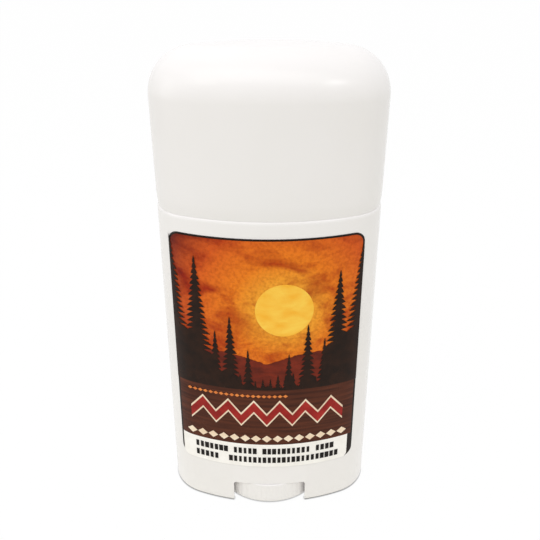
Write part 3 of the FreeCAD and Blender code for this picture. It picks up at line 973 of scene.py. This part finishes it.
@dataclass
class FeedScrew:
    """The screw that the wheel turns: square drive, shank, seal flange and a coarse thread."""

    drive: float = 2.5
    bottom: float = 1.3
    shank: float = 3.6
    shank_bottom: float = 6.5
    flange: float = 7.0
    flange_bottom: float = 8.8
    flange_top: float = 10.0
    core: float = 2.35
    thread: float = 3.2
    thread_width: float = 1.3
    sunk: float = 0.2
    lead: float = 4.0
    top: float = 94.0
    tip: float = 1.0

    def build(self) -> None:
        """Build the core and grow the thread."""
        skin = Skin()
        skin.ring(square(self.drive), self.bottom)
        skin.fan(skin.rings[0])
        skin.ring(square(self.drive), self.shank_bottom)
        skin.circles(
            (self.shank, self.shank_bottom), (self.shank, self.flange_bottom),
            (self.flange, self.flange_bottom), (self.flange, self.flange_top),
            (self.core, self.flange_top), (self.core, self.top - self.tip),
            (self.core - self.tip, self.top),
        )
        skin.fan(skin.rings[-1])
        core = skin.piece("screw_core", NATURAL_PLASTIC_MATERIAL)
        core.put_on(Body.DRIVE, "natural_plastic", "spindle")
        self.grow_thread().put_on(Body.DRIVE, "natural_plastic")

    def grow_thread(self) -> Piece:
        """Grow the thread along a helix, sunk a little into the core."""
        length = self.top - self.flange_top - self.lead
        root = self.core - self.sunk
        tree = GrowthTree(
            "feed_thread", Turns=length / self.lead, Length=length, Path=(self.thread + root) / 2,
            Width=self.thread_width, Height=self.thread - root, Rise=self.flange_top + 1.0,
        )
        helix = tree.node(
            "GeometryNodeCurveSpiral", Resolution=28, Rotations="Turns", Start_Radius="Path",
            End_Radius="Path", Height="Length",
        )
        section = tree.node(
            "GeometryNodeCurvePrimitiveQuadrilateral", Width="Height", Height="Width"
        )
        thread = tree.node(
            "GeometryNodeCurveToMesh", Curve=helix, Profile_Curve=section, Fill_Caps=True
        )
        return tree.grow(tree.lift(thread, "Rise"), NATURAL_PLASTIC_MATERIAL, "screw_thread")


@dataclass
class ProductStick:
    """The product, cast over its carrier, with a domed top and a channel for the screw."""

    inset: float = 2.75
    rim: float = 1.0
    bottom: float = 11.9
    rim_top: float = 16.4
    nut: float = 5.4
    nut_top: float = 20.4
    channel: float = 3.8
    channel_top: float = 94.6
    top: float = 113.8
    round: float = 8.5

    def build(self) -> None:
        """Build the product and dress the carrier under it."""
        skin = Skin()
        skin.circles((self.channel, self.channel_top))
        skin.fan(skin.rings[0])
        skin.circles(
            (self.channel, self.nut_top), (self.nut, self.nut_top), (self.nut, self.bottom)
        )
        inside = self.inset + self.rim
        skin.ovals((inside, self.bottom), (inside, self.rim_top), (self.inset, self.rim_top))
        skin.rounding(self.inset + self.round, self.top - self.round, self.round, 20, 0, 90)
        skin.lid(skin.rings[-1], lambda x: self.top)
        stick = skin.piece("product_stick", PRODUCT.material())
        stick.put_on(Body.CARRIAGE, "product", "stick")
        dress("elevator", NATURAL_PLASTIC_MATERIAL)


@dataclass
class InnerSeal:
    """The thin moulded cover over a new product, with its flange on the neck and a pull tab."""

    neck_inset: float = 1.35
    neck_top: float = 103.6
    flange: float = 0.8
    inner_inset: float = 2.7
    inner_top: float = 113.85
    inner_round: float = 8.55
    wall: float = 0.7
    tab_half: float = 4.5
    tab_thickness: float = 1.2
    tab_top: float = 118.15
    tab_corner: float = 1.6
    tab_edge: float = 0.2

    def build(self) -> None:
        """Build the dome and its tab."""
        material = THIN_SEAL.material()
        skin = Skin()
        inner, outer = self.inner_round, self.inner_round + self.wall
        centre = self.inner_top - inner
        middle = self.inner_inset + inner
        skin.rounding(middle, centre, inner, 16, 90, 0)
        skin.lid(skin.rings[0], lambda x: self.inner_top)
        rim = self.neck_top + self.flange
        skin.ovals(
            (self.inner_inset, self.neck_top), (self.neck_inset, self.neck_top),
            (self.neck_inset, rim), (self.inner_inset - self.wall, rim),
        )
        skin.rounding(middle, centre, outer, 16, 0, 90)
        skin.lid(skin.rings[-1], lambda x: self.inner_top + self.wall)
        seal = skin.piece("seal_dome", material)
        seal.put_on(Body.CARRIAGE, "thin_seal", "inner_seal")
        foot = self.inner_top + self.wall / 2
        outline = arch(self.tab_half, foot, self.tab_top, self.tab_corner, 8)
        tab = slab("seal_tab", outline, self.tab_thickness / 2, material)
        tab.bevel(self.tab_edge)
        tab.put_on(Body.CARRIAGE, "thin_seal")


def dress(node: str, material: bpy.types.Material) -> None:
    """Give a node of the frame that is carried over its finish."""
    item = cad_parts[node]
    item.data.materials.clear()
    item.data.materials.append(material)
    log.info("%s: carried over", node)


@dataclass
class Label:
    """The wrapped front label: a dark film with its print in thin layers of ink."""

    bottom: float = 13.6
    height: float = 69.8
    half: float = 24.3
    shift: float = -0.7
    corner: float = 2.8
    film: float = 0.12
    ink: float = 0.04
    gap: float = 0.04
    border: float = 0.5
    footer: float = 7.9
    footer_inset: tuple[float, float] = (0.5, 1.5)
    panel: float = 18.5
    sun_radius: float = 7.4
    sun_rise: float = 24.0
    sun_shift: float = 4.5
    hill_radius: float = 34.0
    hill_rise: float = 11.5
    pine_height: float = 38.0
    pine_spread: float = 5.2
    band_drop: float = 7.8
    band_margin: float = 3.4
    band_height: float = 7.4
    band_stroke: float = 3.0
    band_outline: float = 0.7
    waves: int = 6
    marks: int = 30
    lozenges: int = 15
    columns: list[float] = field(default_factory=lambda: OVAL.columns())

    @property
    def left(self) -> float:
        """The print's left edge."""
        return self.shift - self.half + self.border

    @property
    def right(self) -> float:
        """The print's right edge."""
        return self.shift + self.half - self.border

    @property
    def panel_bottom(self) -> float:
        """The brown panel's lower edge."""
        return self.bottom + self.footer

    @property
    def picture_bottom(self) -> float:
        """The picture's lower edge."""
        return self.panel_bottom + self.panel

    @property
    def top(self) -> float:
        """The print's upper edge."""
        return self.bottom + self.height - self.border

    @property
    def sun(self) -> Point:
        """The sun's centre."""
        return self.shift + self.sun_shift, self.picture_bottom + self.sun_rise

    def level(self, layer: int) -> float:
        """Give the underside of a layer over the barrel, where 0 is the film."""
        return self.film + (self.gap + self.ink) * layer - self.ink if layer else 0.0

    def build(self) -> None:
        """Build the film, the picture, the panel and the strip."""
        self.lay_film()
        self.lay_picture()
        self.lay_panel()
        self.lay_strip()

    def lay(
        self, name: str, layer: int, outlines: Sequence[Outline], finish: Ink | DuskSky, node: str
    ) -> None:
        """Lay one colour of the print on the barrel.

        Args:
            name: The piece's name.
            layer: Which layer it is, where 0 is the film.
            outlines: What it covers, across and up. They may overlap.
            finish: Its ink, named like the record's slot.
            node: The node of the frame that it stands for.
        """
        points, triangles = self.cut_out(outlines)
        thickness = self.ink if layer else self.film
        inner = self.level(layer)
        count = len(points)
        x, z = points[:, 0], points[:, 1]
        outside = np.stack([x, OVAL.front(x, inner + thickness), z], 1)
        inside = np.stack([x, OVAL.front(x, inner), z], 1)
        faces = [list(face) for face in triangles]
        faces += [[corner + count for corner in reversed(face)] for face in triangles]
        edges = {(a, b) for t in triangles for a, b in zip(t, t[1:] + t[:1])}
        faces += [[b, a, a + count, b + count] for a, b in edges if (b, a) not in edges]
        piece = Piece(name, np.concatenate([outside, inside]), faces, finish.material())
        piece.put_on(Body.CONTAINER, finish.name, node)

    def cut_out(self, outlines: Sequence[Outline]) -> tuple[np.ndarray, list[tuple[int, ...]]]:
        """Cut flat outlines to faces that bend where the barrel's columns do.

        Args:
            outlines: The outlines, which may overlap.

        Returns:
            The points across and up, and the faces' corners.
        """
        corners = [Vector(point) for outline in outlines for point in outline]
        rings, start = [], 0
        for outline in outlines:
            rings.append(list(range(start, start + len(outline))))
            start += len(outline)
        places, _, triangles, *_ = delaunay_2d_cdt(corners, [], rings, 1, 1e-5)
        shape = bmesh.new()
        knots = [shape.verts.new((place.x, 0.0, place.y)) for place in places]
        for triangle in triangles:
            shape.faces.new([knots[corner] for corner in triangle])
        low, high = min(p.x for p in places), max(p.x for p in places)
        left, right = self.shift - self.half, self.shift + self.half
        inside = [x for x in self.columns if max(low, left) < x < min(high, right)]
        outer = [(x, sign) for x, sign in ((left, -1), (right, 1)) if low < x < high]
        for x, sign in [(x, 0) for x in inside] + outer:
            bmesh.ops.bisect_plane(
                shape, geom=shape.verts[:] + shape.edges[:] + shape.faces[:], dist=1e-5,
                plane_co=(x, 0, 0), plane_no=(sign or 1, 0, 0), clear_outer=bool(sign),
            )
        shape.verts.index_update()
        points = np.array([(v.co.x, v.co.z) for v in shape.verts])
        faces = [tuple(v.index for v in face.verts) for face in shape.faces]
        shape.free()
        return points, faces

    def wrap(self, layer: int) -> Callable[[np.ndarray], np.ndarray]:
        """Give what lays flat points on a layer.

        Args:
            layer: The layer.

        Returns:
            A function that takes points across, in front by less than the ink, and up.
        """
        def onto(points: np.ndarray) -> np.ndarray:
            proud = self.level(layer) + self.ink / 2 - points[:, 1]
            return np.stack([points[:, 0], OVAL.front(points[:, 0], proud), points[:, 2]], 1)

        return onto

    def box(self, left: float, right: float, low: float, high: float, *corners: float) -> Outline:
        """Outline a rectangle with rounded corners.

        Args:
            left: Its left edge.
            right: Its right edge.
            low: Its lower edge.
            high: Its upper edge.
            *corners: The radius of its lower and of its upper corners.

        Returns:
            The outline.
        """
        lower, upper = corners or (0.0, 0.0)
        outline: Outline = []
        for x, z, radius, start in (
            (right, low, lower, -90), (right, high, upper, 0),
            (left, high, upper, 90), (left, low, lower, 180),
        ):
            if not radius:
                outline.append((x, z))
                continue
            across = x - math.copysign(radius, x - (left + right) / 2)
            along = z - math.copysign(radius, z - (low + high) / 2)
            for angle in np.radians(np.linspace(start, start + 90, 9)):
                outline.append((across + radius * math.cos(angle), along + radius * math.sin(angle)))
        return outline

    def lay_film(self) -> None:
        """Lay the dark film that shows as the border."""
        edge = self.box(
            self.left - self.border, self.right + self.border,
            self.bottom, self.bottom + self.height, self.corner, self.corner,
        )
        dark = Ink("label_border", screen(36, 26, 20), screen(26, 18, 14))
        self.lay("label_film", 0, [edge], dark, "label")

    def lay_picture(self) -> None:
        """Lay the dusk landscape: sky, sun, hills and pines."""
        inner = self.corner - self.border
        sky = self.box(self.left, self.right, self.picture_bottom, self.top, 0.0, inner)
        self.lay("print_sky", 1, [sky], DuskSky("label_sky", self.sun), "label_sky")
        disc = [
            (self.sun[0] + self.sun_radius * math.cos(a), self.sun[1] + self.sun_radius * math.sin(a))
            for a in np.linspace(0, 2 * math.pi, 64, endpoint=False)
        ]
        sun = Ink("label_sun", screen(252, 206, 84), screen(248, 182, 56), blotch=(6, 6, 3))
        self.lay("print_sun", 2, [disc], sun, "label_sun")
        hills = Ink("label_hills", screen(122, 42, 24), screen(88, 30, 18), blotch=(5, 5, 2))
        self.lay("print_hills", 2, [self.ridge()], hills, "label_hills")
        dark = Ink("label_pines", screen(44, 24, 13), screen(30, 17, 9))
        self.lay("print_pines", 3, self.pines(), dark, "label_pines")

    def ridge(self) -> Outline:
        """Outline the two far hills, with small breaks along their crests."""
        random.seed(4)
        half = self.half - self.border
        summits = [self.shift + half * share for share in (-0.62, 0.62)]
        crest = self.picture_bottom + self.hill_rise - self.hill_radius
        outline = [(self.right, self.picture_bottom)]
        for x in np.linspace(self.right, self.left, 90):
            across = min(abs(x - summit) for summit in summits)
            height = crest + math.sqrt(self.hill_radius ** 2 - across ** 2)
            outline.append((float(x), height - random.uniform(0.0, 0.35)))
        return outline + [(self.left, self.picture_bottom)]

    def pines(self) -> list[Outline]:
        """Outline the pines, the low trees between them and the grass at their feet."""
        random.seed(11)
        places = (
            (-1.0, 1.12), (-0.74, 1.0), (-0.55, 0.46), (-0.39, 0.58), (-0.20, 0.33),
            (0.24, 0.30), (0.44, 0.52), (0.62, 0.40), (0.76, 0.90), (0.99, 1.06),
        )
        outlines = []
        for place, share in places:
            outlines.append(self.pine(
                self.shift + self.half * place, self.picture_bottom,
                self.pine_height * share, self.pine_spread * share,
            ))
        for place in np.linspace(self.left + 0.8, self.right - 0.8, 24):
            height = random.uniform(2.6, 5.4)
            outlines.append(self.pine(float(place), self.picture_bottom, height, height * 0.2))
        for place in np.linspace(self.left + 0.4, self.right - 0.4, 110):
            outlines.append(self.blade(float(place)))
        return outlines + [self.brush()]

    def brush(self) -> Outline:
        """Outline the low brush, which is taller towards both sides."""
        outline = [(self.right, self.picture_bottom)]
        for x in np.linspace(self.right, self.left, 70):
            share = abs(x - self.shift) / self.half
            outline.append((float(x), self.picture_bottom + random.uniform(0.5, 1.4) + 3.2 * share ** 3))
        return outline + [(self.left, self.picture_bottom)]

    def blade(self, x: float) -> Outline:
        """Outline one blade of grass, leaning a little."""
        height, lean = random.uniform(0.7, 1.9), random.uniform(-0.5, 0.5)
        foot = self.picture_bottom
        return [(x - 0.16, foot), (x + 0.16, foot), (x + lean * 0.4 + 0.07, foot + height * 0.6),
                (x + lean, foot + height)]

    def pine(self, x: float, foot: float, height: float, spread: float) -> Outline:
        """Outline one pine, a trunk under drooping boughs that shorten to its tip.

        Args:
            x: Where it stands.
            foot: The height of its foot.
            height: How tall it is.
            spread: Half its width.

        Returns:
            The outline.
        """
        boughs = max(4, round(height / 1.7))
        sides = []
        for sign in (1, -1):
            side = [(x + sign * spread * 0.12, foot), (x + sign * spread * 0.12, foot + height * 0.1)]
            for bough in range(boughs):
                share = bough / boughs
                reach = spread * (1 - share) ** 0.85 * random.uniform(0.82, 1.0)
                base = foot + height * (0.1 + 0.9 * share)
                step = height * 0.9 / boughs
                side.append((x + sign * reach, base - step * random.uniform(0.05, 0.3)))
                side.append((x + sign * reach * 0.72, base + step * 0.28))
                side.append((x + sign * reach * 0.3, base + step * 0.72))
            sides.append(side)
        return sides[0] + [(x, foot + height)] + sides[1][::-1]

    def lay_panel(self) -> None:
        """Lay the brown panel with its zigzag band and its rows of lozenges."""
        wood = Ink(
            "label_panel", screen(94, 48, 30), screen(58, 27, 16), blotch=(14, 14, 0.9),
            band=(0.3, 0.7),
        )
        panel = self.box(self.left, self.right, self.panel_bottom, self.picture_bottom)
        self.lay("print_panel", 1, [panel], wood, "label_panel")
        cream = Ink("label_edging", screen(246, 228, 204), screen(236, 210, 182))
        edging = [self.zigzag(self.band_stroke / 2 + self.band_outline)]
        self.lay("print_band_edge", 2, edging, cream, "label_edging")
        red = Ink("label_band", screen(168, 44, 38), screen(138, 30, 28))
        self.lay("print_band", 3, [self.zigzag(self.band_stroke / 2)], red, "label_band")
        row = self.panel_bottom + 2.1
        self.grow_lozenges("print_lozenges", self.lozenges, 2.75, 2.3, row, cream)
        orange = Ink("label_orange", screen(232, 140, 72), screen(214, 118, 56))
        self.grow_lozenges(
            "print_beads", 19, 1.3, 1.0, self.picture_bottom - 2.1, orange, reach=0.62
        )

    def along(self, share: float) -> float:
        """Give the place at a share of the band's length."""
        return self.shift + (self.half - self.band_margin) * (2 * share - 1)

    def zigzag(self, half_stroke: float) -> Outline:
        """Outline the zigzag band, thick by twice half_stroke measured upright."""
        middle = self.picture_bottom - self.band_drop
        rise = (self.band_height - self.band_stroke) / 2
        steps = 2 * self.waves
        line = [
            (self.along(step / steps), middle + (rise if step % 2 else -rise))
            for step in range(steps + 1)
        ]
        lower = [(x, z - half_stroke) for x, z in line]
        return lower + [(x, z + half_stroke) for x, z in reversed(line)]

    def grow_lozenges(
        self, name: str, count: int, width: float, height: float, row: float, finish: Ink,
        reach: float = 1.0,
    ) -> None:
        """Grow a row of lozenges on the panel.

        Args:
            name: The piece's name.
            count: How many there are.
            width: How wide each is.
            height: How tall each is.
            row: The height of their middles.
            finish: Their ink.
            reach: The share of the band's length that they cover, from its left end.
        """
        start, end = self.along(0.0), self.along(reach)
        tree = GrowthTree(
            f"{name}_row", Count=count, Start=start, Pitch=(end - start) / (count - 1), Row=row,
            Half_Width=width / 2, Half_Height=height / 2, Thickness=self.ink,
        )
        disc = tree.node("GeometryNodeMeshCylinder", Vertices=4, Radius=1.0, Depth=1.0)
        laid = tree.node("GeometryNodeTransform", Geometry=disc, Rotation=(math.pi / 2, 0.0, 0.0))
        fine = tree.node("GeometryNodeSubdivideMesh", Mesh=laid, Level=2)
        sized = tree.node(
            "GeometryNodeTransform", Geometry=fine,
            Scale=tree.vector("Half_Width", "Thickness", "Half_Height"),
        )
        row_of = tree.node("GeometryNodeInstanceOnPoints", Points=tree.row("Row"), Instance=sized)
        piece = tree.grow(row_of, finish.material(), name, self.wrap(2))
        piece.put_on(Body.CONTAINER, "label_edging")

    def lay_strip(self) -> None:
        """Lay the white strip and its rows of small plain marks."""
        left, right = self.footer_inset
        start, end = self.shift - self.half + left, self.shift + self.half - right
        paper = Ink("label_footer", screen(251, 248, 245), screen(245, 241, 237))
        strip = self.box(start, end, self.bottom, self.panel_bottom, self.corner - right, 0.0)
        self.lay("print_strip", 1, [strip], paper, "label_footer")
        black = Ink("label_marks", screen(30, 24, 21), screen(20, 16, 14))
        first, last = self.along(0.03), self.along(0.97)
        tree = GrowthTree(
            "mark_rows", Count=self.marks, Start=first, Pitch=(last - first) / (self.marks - 1),
            Low=self.bottom + self.footer * 0.31, Gap=self.footer * 0.39, Height=1.95,
            Least=0.7, Most=1.15, Space=0.11, Thickness=self.ink, Seed=8,
        )
        grid = tree.node("GeometryNodeMeshToPoints", Mesh=tree.row("Low"))
        both = tree.node("GeometryNodeJoinGeometry", Geometry=grid)
        tree.group.links.new(tree.lift(grid, "Gap"), both.node.inputs["Geometry"])
        cube = tree.node(
            "GeometryNodeMeshCube", Size=(1.0, 1.0, 1.0), Vertices_X=3, Vertices_Y=2, Vertices_Z=2
        )
        random_value = "FunctionNodeRandomValue"
        width = tree.node(random_value, {"data_type": "FLOAT"}, Min="Least", Max="Most", Seed="Seed")
        space = tree.node(random_value, {"data_type": "BOOLEAN"}, Probability="Space", Seed="Seed")
        kept = tree.node("GeometryNodeDeleteGeometry", Geometry=both, Selection=space)
        marks = tree.node(
            "GeometryNodeInstanceOnPoints", Points=kept, Instance=cube,
            Scale=tree.vector(width, "Thickness", "Height"),
        )
        piece = tree.grow(marks, black.material(), "print_marks", self.wrap(2))
        piece.put_on(Body.CONTAINER, "label_marks", "label_marks")


@dataclass
class Studio:
    """The floor, the light and the camera, none of which is part of the stick."""

    ambient: float = 0.92
    floor_share: float = 0.96
    # How far the floor's painted contact shadow reaches, in millimetres.
    painted_contact_shadow: float = 0.5
    floor_half: float = 3000.0
    sheet: float = 384.615
    near_floor: Colour = (0.76, 0.755, 0.66)
    far_floor: Colour = (0.38, 0.38, 0.33)
    camera: tuple[float, float, float] = (0.00018, -0.1612, 0.146)
    pitch: float = 64.1
    lens: float = 44.45

    def build(self) -> None:
        """Set the stage."""
        scene = bpy.context.scene
        scene.view_settings.view_transform = "Standard"
        self.light_world()
        self.lay_floor()
        aim = (0.0, 0.0, 0.08)
        self.hang_lamp("soft_box", (-0.055, -0.259, 0.494), aim, (0.6, 0.25), 0.57)
        self.hang_lamp("side_box", (-0.47, -0.12, 0.24), aim, (0.3, 0.3), 0.24)
        self.hang_lamp("left_lamp", (-0.304, -0.325, 0.423), aim, (0.08, 0.08), 0.06)
        self.hang_lamp("right_lamp", (0.304, -0.325, 0.423), aim, (0.07, 0.07), 0.16)
        self.place_camera()

    def seen(self, wiring: Wiring) -> bpy.types.NodeSocket:
        """Tell what is looked at, also in a mirror or through glass, from what only lights."""
        path = wiring.add("ShaderNodeLightPath")
        seen = path.outputs["Is Camera Ray"]
        for other in ("Is Glossy Ray", "Is Transmission Ray"):
            most = wiring.add("ShaderNodeMath", {"operation": "MAXIMUM"})
            wiring.join(seen, most.inputs[0])
            wiring.join(path.outputs[other], most.inputs[1])
            seen = most.outputs[0]
        return seen

    def light_world(self) -> None:
        """Light from all round, with pure white where the camera looks past the stick."""
        world = bpy.data.worlds.new("studio_air")
        world.use_nodes = True
        wiring = Wiring(world.node_tree)
        strength = wiring.add(
            "ShaderNodeMapRange", Value=self.seen(wiring), To_Min=self.ambient, To_Max=1.0
        ).outputs["Result"]
        wiring.feed(wiring.tree.nodes["Background"], Color=(1, 1, 1, 1), Strength=strength)
        bpy.context.scene.world = world

    def lay_floor(self) -> None:
        """Lay the floor: white as seen, with a thin contact shadow painted into its glow, and darker as
        a light.
        """
        shader = Shader("studio_floor", Roughness=0.9, Specular_IOR_Level=0.0)
        seen = self.seen(shader)
        sheet = shader.glow([self.sheet] * 3, (0.0, 0.0, 0.0))
        ground = shader.ramp(sheet, (0.0, self.far_floor), (0.72, self.near_floor))
        white = shader.add(
            "ShaderNodeMix", {"data_type": "RGBA"}, Factor=seen, A=ground, B=(0.95, 0.95, 0.95, 1.0)
        )
        shader.feed(shader.surface, Base_Color=white.outputs["Result"])
        # Painted shadow: the floor's glow is darkened by ambient occlusion near the stick's foot.
        painted_contact_shadow = shader.add("ShaderNodeAmbientOcclusion", Distance=self.painted_contact_shadow * MM)
        glow = shader.add("ShaderNodeEmission", Color=painted_contact_shadow.outputs["Color"])
        share = shader.add("ShaderNodeMath", {"operation": "MULTIPLY"})
        shader.join(seen, share.inputs[0])
        shader.join(self.floor_share, share.inputs[1])
        mix = shader.add("ShaderNodeMixShader", Fac=share.outputs[0])
        shader.join(shader.surface.outputs["BSDF"], mix.inputs[1])
        shader.join(glow.outputs["Emission"], mix.inputs[2])
        shader.feed(shader.tree.nodes["Material Output"], Surface=mix.outputs["Shader"])
        half = self.floor_half
        points = np.array([(-half, -half, 0), (half, -half, 0), (half, half, 0), (-half, half, 0)])
        floor = Piece("studio_floor", points, [(0, 1, 2, 3)], shader.material)

    def hang_lamp(
        self, name: str, place: Sequence[float], aim: Sequence[float], size: Sequence[float],
        power: float,
    ) -> None:
        """Hang a soft box.

        Args:
            name: The lamp's name.
            place: Where it hangs, in metres.
            aim: What it points at, in metres.
            size: Its width and height, in metres.
            power: Its power in watts.
        """
        lamp = bpy.data.lights.new(name, "AREA")
        lamp.shape = "RECTANGLE"
        lamp.size, lamp.size_y = size
        lamp.energy = power
        item = bpy.data.objects.new(name, lamp)
        item.location = place
        item.rotation_euler = (Vector(aim) - Vector(place)).to_track_quat("-Z", "Y").to_euler()
        bpy.context.scene.collection.objects.link(item)

    def place_camera(self) -> None:
        """Place the camera at the photograph's view."""
        lens = bpy.data.cameras.new("view")
        lens.lens = self.lens
        lens.sensor_width = 36.0
        lens.clip_start = 0.005
        item = bpy.data.objects.new("view", lens)
        item.location = self.camera
        item.rotation_euler = (math.radians(self.pitch), 0.0, 0.0)
        bpy.context.scene.collection.objects.link(item)
        bpy.context.scene.camera = item


WHITE_SHELL_MATERIAL = WHITE_SHELL.material()
NATURAL_PLASTIC_MATERIAL = NATURAL_PLASTIC.material()


def main() -> None:
    """Build the stick and its stage."""
    logging.basicConfig(level=logging.INFO, format="%(name)s %(message)s")
    for assembly in (
        Barrel(), HandWheel(), FeedScrew(), ProductStick(), InnerSeal(), Cap(), Label(), Studio(),
    ):
        log.info("building the %s", type(assembly).__name__)
        assembly.build()


if __name__ == "__main__":
    main()
